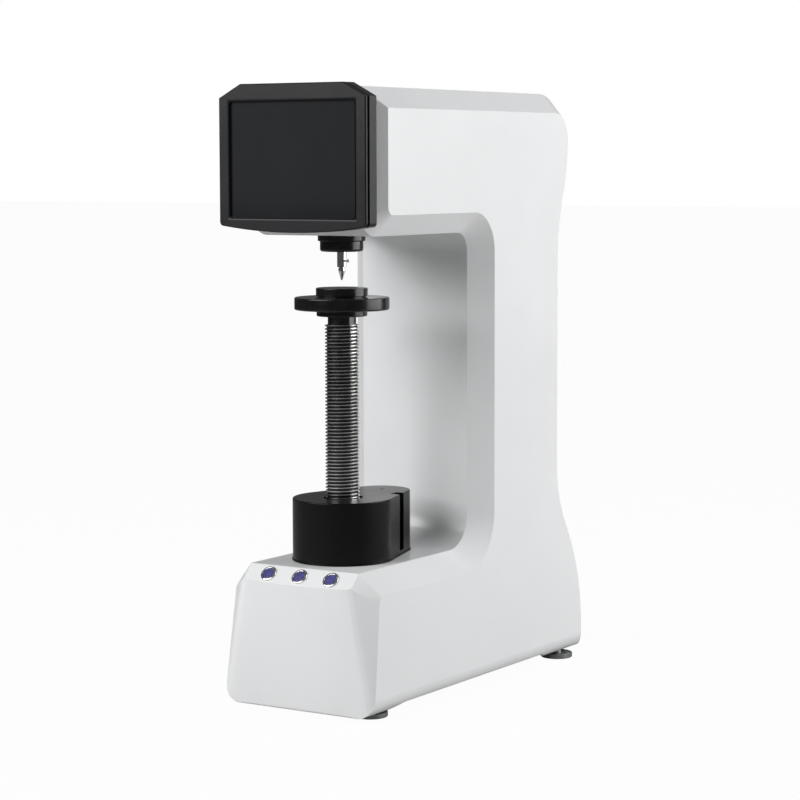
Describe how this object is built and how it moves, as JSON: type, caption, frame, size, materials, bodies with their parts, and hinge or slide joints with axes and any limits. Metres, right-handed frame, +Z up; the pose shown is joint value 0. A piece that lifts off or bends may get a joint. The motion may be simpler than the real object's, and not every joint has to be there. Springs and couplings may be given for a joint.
{
  "type": "hardness tester",
  "caption": "Bench hardness tester: C-shaped frame, touch display, motor-driven indenter spindle above an anvil on an elevating screw, push buttons on the base.",
  "frame": {"origin": "on the bench, under the middle of the whole tester's width and depth", "axes": "+Z up, front with the display towards -Y, +X to the right of someone who faces the display"},
  "size_m": [0.206, 0.525, 0.718],
  "materials": {
    "casting_paint": "satin white paint",
    "cover_paint": "satin white powder coat",
    "zinc_plate": "zinc-plated sheet",
    "foot_steel": "turned steel, satin",
    "black_paint": "satin black paint",
    "black_gloss": "gloss black plating",
    "screw_steel": "bare cut thread, lightly oiled",
    "bearing_steel": "ground steel",
    "bronze": "turned bronze",
    "alloy": "machined alloy",
    "belt_rubber": "matt black rubber",
    "motor_black": "matt black paint",
    "fastener_steel": "zinc-plated",
    "spring_steel": "spring wire",
    "indenter_steel": "polished steel",
    "diamond": "polished stone",
    "bezel_plastic": "fine-grained black plastic",
    "screen_glass": "dark glass, screen off",
    "panel_dark": "dark screen panel",
    "board_green": "green laminate",
    "ring_chrome": "bright plated",
    "button_blue": "blue translucent plastic",
    "black_plastic": "black plastic",
    "loom_black": "black sleeving"
  },
  "bodies": {
    "frame": {"frame_casting": "casting_paint", "rear_cover": "cover_paint", "connector_panel": "cover_paint", "bottom_plate": "zinc_plate", "cover_screws": "fastener_steel", "levelling_feet": "foot_steel", "drive_seat_plate": "black_paint", "screw_housing": "black_paint", "housing_set_screw": "black_gloss", "nut_bearings": "bearing_steel", "guide_bush": "bronze", "guide_key": "bearing_steel", "lift_belt": "belt_rubber", "lift_motor": "motor_black", "lift_motor_screws": "fastener_steel", "nose_flange": "black_gloss", "nose_cap": "black_gloss", "spindle_bushes": "bronze", "return_spring": "spring_steel", "guide_rods": "bearing_steel", "load_top_plate": "alloy", "load_belt": "belt_rubber", "load_motor": "motor_black", "depth_sensor": "alloy", "display_bezel": "bezel_plastic", "display_rear_shell": "bezel_plastic", "display_screws": "fastener_steel", "touch_glass": "screen_glass", "lcd_panel": "panel_dark", "display_board": "board_green", "button_rings": "ring_chrome", "button_switches": "black_plastic", "power_inlet": "black_plastic", "switch_body": "black_plastic", "data_port": "bearing_steel", "power_supply": "alloy", "control_board": "board_green", "wiring_loom": "loom_black"},
    "lift": {"elevating_screw": "screw_steel", "anvil_collar": "black_gloss", "anvil": "black_gloss"},
    "nut": {"lift_nut": "bronze", "nut_pulley": "alloy"},
    "lift_rotor": {"lift_motor_shaft": "bearing_steel", "lift_motor_pulley": "alloy"},
    "spindle_group": {"spindle": "indenter_steel", "indenter": "indenter_steel", "indenter_diamond": "diamond", "load_cell": "alloy", "load_crosshead": "alloy", "ball_nut": "bearing_steel", "sensor_plunger": "bearing_steel"},
    "load_screw_group": {"load_screw": "bearing_steel", "load_screw_pulley": "alloy"},
    "load_rotor": {"load_motor_pulley": "alloy"},
    "thumb_screw": {"indenter_screw": "indenter_steel"},
    "button_left": {"button_cap_left": "button_blue"},
    "button_middle": {"button_cap_middle": "button_blue"},
    "button_right": {"button_cap_right": "button_blue"},
    "rocker": {"power_rocker": "black_plastic"}
  },
  "joints": [
    {"name": "nut_spin", "type": "hinge", "parent": "frame", "child": "nut", "pos_m": [0, -0.1615, 0.201], "axis": [0, 0, 1], "range_deg": [-360, 14850]},
    {"name": "screw_lift", "type": "slide", "parent": "frame", "child": "lift", "axis": [0, 0, 1], "range_m": [-0.165, 0.004]},
    {"name": "lift_motor_spin", "type": "hinge", "parent": "frame", "child": "lift_rotor", "pos_m": [0, -0.0805, 0.201], "axis": [0, 0, 1], "range_deg": [-945, 38981.25]},
    {"name": "load_screw_spin", "type": "hinge", "parent": "frame", "child": "load_screw_group", "pos_m": [0, -0.1615, 0.683], "axis": [0, 0, 1], "range_deg": [0, 288]},
    {"name": "spindle_press", "type": "slide", "parent": "frame", "child": "spindle_group", "axis": [0, 0, -1], "range_m": [0, 0.004], "stiffness_N_per_m": 600, "springref_m": -0.004, "deforming": ["return_spring"]},
    {"name": "load_motor_spin", "type": "hinge", "parent": "frame", "child": "load_rotor", "pos_m": [0, -0.0755, 0.683], "axis": [0, 0, 1], "range_deg": [0, 411.43]},
    {"name": "indenter_screw_turn", "type": "hinge", "parent": "spindle_group", "child": "thumb_screw", "pos_m": [0, -0.1615, 0.517], "axis": [1, 0, 0], "range_deg": [0, 720]},
    {"name": "rocker_tilt", "type": "hinge", "parent": "frame", "child": "rocker", "pos_m": [0.002, 0.1995, 0.296], "axis": [1, 0, 0], "range_deg": [0, 12]},
    {"name": "button_left_push", "type": "slide", "parent": "frame", "child": "button_left", "axis": [0, 0.7071, -0.7071], "range_m": [0, 0.0012], "stiffness_N_per_m": 800, "springref_m": -0.001},
    {"name": "button_middle_push", "type": "slide", "parent": "frame", "child": "button_middle", "axis": [0, 0.7071, -0.7071], "range_m": [0, 0.0012], "stiffness_N_per_m": 800, "springref_m": -0.001},
    {"name": "button_right_push", "type": "slide", "parent": "frame", "child": "button_right", "axis": [0, 0.7071, -0.7071], "range_m": [0, 0.0012], "stiffness_N_per_m": 800, "springref_m": -0.001}
  ],
  "couplings": [
    {"joint": "nut_spin", "follows": "screw_lift", "rad_per_m": -1570.8},
    {"joint": "lift_motor_spin", "follows": "screw_lift", "rad_per_m": -4123.3},
    {"joint": "load_screw_spin", "follows": "spindle_press", "rad_per_m": 1256.6},
    {"joint": "load_motor_spin", "follows": "spindle_press", "rad_per_m": 1795.2}
  ]
}
